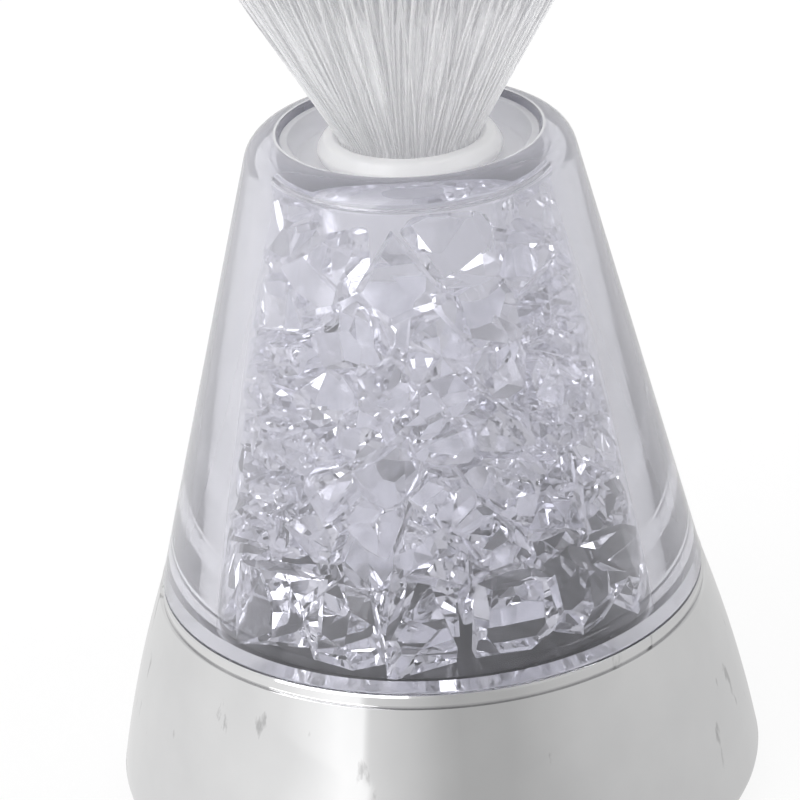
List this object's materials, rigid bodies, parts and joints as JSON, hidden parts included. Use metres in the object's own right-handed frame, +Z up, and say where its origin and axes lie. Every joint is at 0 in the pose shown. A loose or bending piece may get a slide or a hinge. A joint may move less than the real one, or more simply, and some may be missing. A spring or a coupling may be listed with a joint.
{
  "type": "fiber optic lamp",
  "caption": "Battery fiber optic lamp: chromed flared base, thick clear vessel of crystals, and a plug-in spray of bending fibers on top.",
  "frame": {"origin": "on the table, under the middle of the base", "axes": "+Z up along the lamp's axis; -Y is the side that faces the viewer, +X to the viewer's right; the switch is at +Y under the base"},
  "size_m": [0.3038, 0.3038, 0.3091],
  "materials": {
    "plated_shell": "vacuum-plated, mirror bright",
    "cover_plastic": "fine texture",
    "foot_rubber": "matt",
    "screw_steel": "satin",
    "board_laminate": "semi-matt",
    "light_lens": "water clear",
    "cup_white": "glossy",
    "chip_resin": "matt",
    "battery_jacket": "gloss sleeve",
    "contact_metal": "bright",
    "switch_plastic": "satin",
    "lead_sleeve": "satin",
    "plate_black": "glossy",
    "clear_vessel": "clear, polished",
    "clear_dish": "clear, lightly frosted",
    "crystal": "clear, polished",
    "collar_plastic": "translucent white",
    "fibre": "clear, polished"
  },
  "bodies": {
    "base": {"base_shell": "plated_shell", "bottom_cover": "cover_plastic", "rubber_foot_1": "foot_rubber", "rubber_foot_2": "foot_rubber", "rubber_foot_3": "foot_rubber", "rubber_foot_4": "foot_rubber", "rubber_foot_5": "foot_rubber", "rubber_foot_6": "foot_rubber", "cover_screw_1": "screw_steel", "cover_screw_2": "screw_steel", "cover_screw_3": "screw_steel", "circuit_board": "board_laminate", "board_screw_1": "screw_steel", "board_screw_2": "screw_steel", "board_screw_3": "screw_steel", "light_1": "light_lens", "light_2": "light_lens", "light_3": "light_lens", "light_4": "light_lens", "light_cup": "cup_white", "control_chip": "chip_resin", "battery_1": "battery_jacket", "battery_2": "battery_jacket", "battery_3": "battery_jacket", "battery_spring_1": "contact_metal", "battery_spring_2": "contact_metal", "battery_spring_3": "contact_metal", "battery_contact_1": "contact_metal", "battery_contact_2": "contact_metal", "battery_contact_3": "contact_metal", "switch_body": "switch_plastic", "lead_switch_board": "lead_sleeve", "lead_battery_board": "lead_sleeve", "lead_battery_switch": "lead_sleeve", "floor_plate": "plate_black", "crystal_vessel": "clear_vessel", "recess_dish": "clear_dish", "light_tube": "clear_dish", "crystals_layer_1": "crystal", "crystals_layer_2": "crystal", "crystals_layer_3": "crystal", "crystals_layer_4": "crystal"},
    "door": {"battery_door": "cover_plastic"},
    "slider": {"switch_slider": "switch_plastic"},
    "spray": {"bundle_collar": "collar_plastic", "bundle_ferrule": "collar_plastic", "fibre_bundle": "fibre", "fibres_inner": "fibre", "fibres_middle": "fibre", "fibres_outer": "fibre"}
  },
  "joints": [
    {"name": "battery_door_hinge", "type": "hinge", "parent": "base", "child": "door", "pos_m": [0, 0.0272, 0.0023], "axis": [1, 0, 0], "range_deg": [0, 100]},
    {"name": "switch_slide", "type": "slide", "parent": "base", "child": "slider", "axis": [1, 0, 0], "range_m": [0, 0.004]},
    {"name": "spray_lift", "type": "slide", "parent": "base", "child": "spray", "axis": [0, 0, 1], "range_m": [0, 0.015]}
  ]
}
